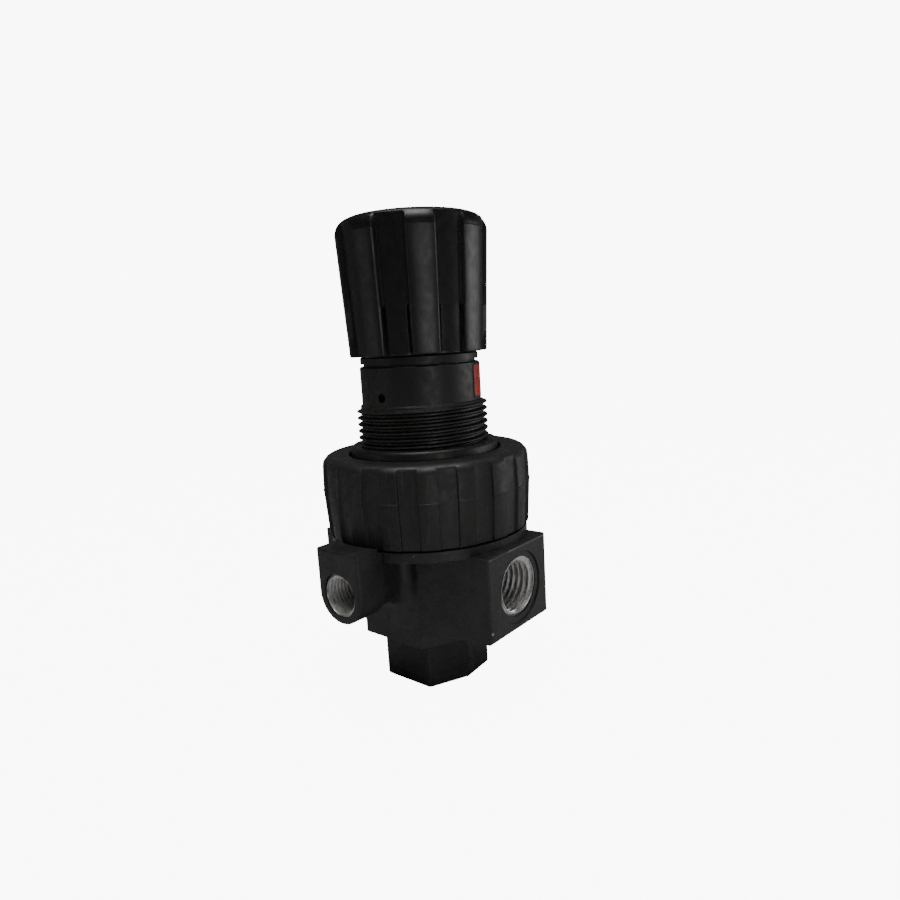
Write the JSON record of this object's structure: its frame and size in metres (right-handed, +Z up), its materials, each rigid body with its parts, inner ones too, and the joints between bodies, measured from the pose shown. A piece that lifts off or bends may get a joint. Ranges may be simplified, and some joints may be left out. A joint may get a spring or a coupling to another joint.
{
  "type": "gas pressure regulator",
  "caption": "Black in-line diaphragm pressure regulator: ribbed push-to-lock knob, threaded bonnet, knurled clamp ring and cast body with two main ports and two gauge ports.",
  "frame": {"origin": "centre of the bottom plug's lower face, on the adjusting screw's axis", "axes": "+Z up the adjusting screw, X along the two main ports with the outlet at +X, Y along the two gauge ports"},
  "size_m": [0.05, 0.0588, 0.1062],
  "materials": {
    "body_paint": "gloss black paint on die-cast zinc",
    "ring_plastic": "matte black glass-filled plastic",
    "bonnet_plastic": "satin black plastic",
    "knob_plastic": "semi-gloss black plastic",
    "label_red": "printed red foil",
    "steel": "zinc plated steel",
    "acetal": "white acetal",
    "brass": "turned brass",
    "spring_steel": "zinc plated spring wire",
    "aluminium": "die-cast aluminium",
    "rubber": "fabric reinforced nitrile rubber"
  },
  "bodies": {
    "root": {"body": "body_paint", "bottom_plug": "body_paint", "plug_seal": "rubber", "stem_seal": "rubber", "spring_washer": "steel", "inlet_screen": "steel", "valve_seat": "brass", "seat_seal": "rubber", "valve_spring": "spring_steel", "clamp_ring": "ring_plastic", "bonnet": "bonnet_plastic", "slip_ring": "acetal", "diaphragm": "rubber", "range_spring": "spring_steel", "lock_ring": "bonnet_plastic", "label": "label_red", "thrust_washer": "acetal"},
    "screw": {"adjusting_screw": "steel"},
    "knob": {"knob": "knob_plastic"},
    "spring_nut": {"spring_nut": "brass"},
    "diaphragm_group": {"diaphragm_plate": "aluminium", "diaphragm_hub": "brass", "hub_nut": "steel"},
    "valve": {"poppet": "brass", "poppet_seal": "rubber"}
  },
  "joints": [
    {"name": "screw_turn", "type": "hinge", "parent": "root", "child": "screw", "pos_m": [0, 0, 0.0711], "axis": [0, 0, -1], "range_deg": [0, 1800]},
    {"name": "knob_push", "type": "slide", "parent": "screw", "child": "knob", "axis": [0, 0, -1], "range_m": [0, 0.0022]},
    {"name": "nut_travel", "type": "slide", "parent": "root", "child": "spring_nut", "axis": [0, 0, -1], "range_m": [0, 0.00625], "deforming": ["range_spring"]},
    {"name": "diaphragm_lift", "type": "slide", "parent": "root", "child": "diaphragm_group", "axis": [0, 0, -1], "range_m": [0, 0.001], "stiffness_N_per_m": 800, "deforming": ["diaphragm"]},
    {"name": "valve_lift", "type": "slide", "parent": "root", "child": "valve", "axis": [0, 0, -1], "range_m": [0, 0.001], "deforming": ["valve_spring"]}
  ],
  "couplings": [
    {"joint": "screw_turn", "follows": "nut_travel", "rad_per_m": 5026.5},
    {"joint": "valve_lift", "follows": "diaphragm_lift", "ratio": 1}
  ]
}
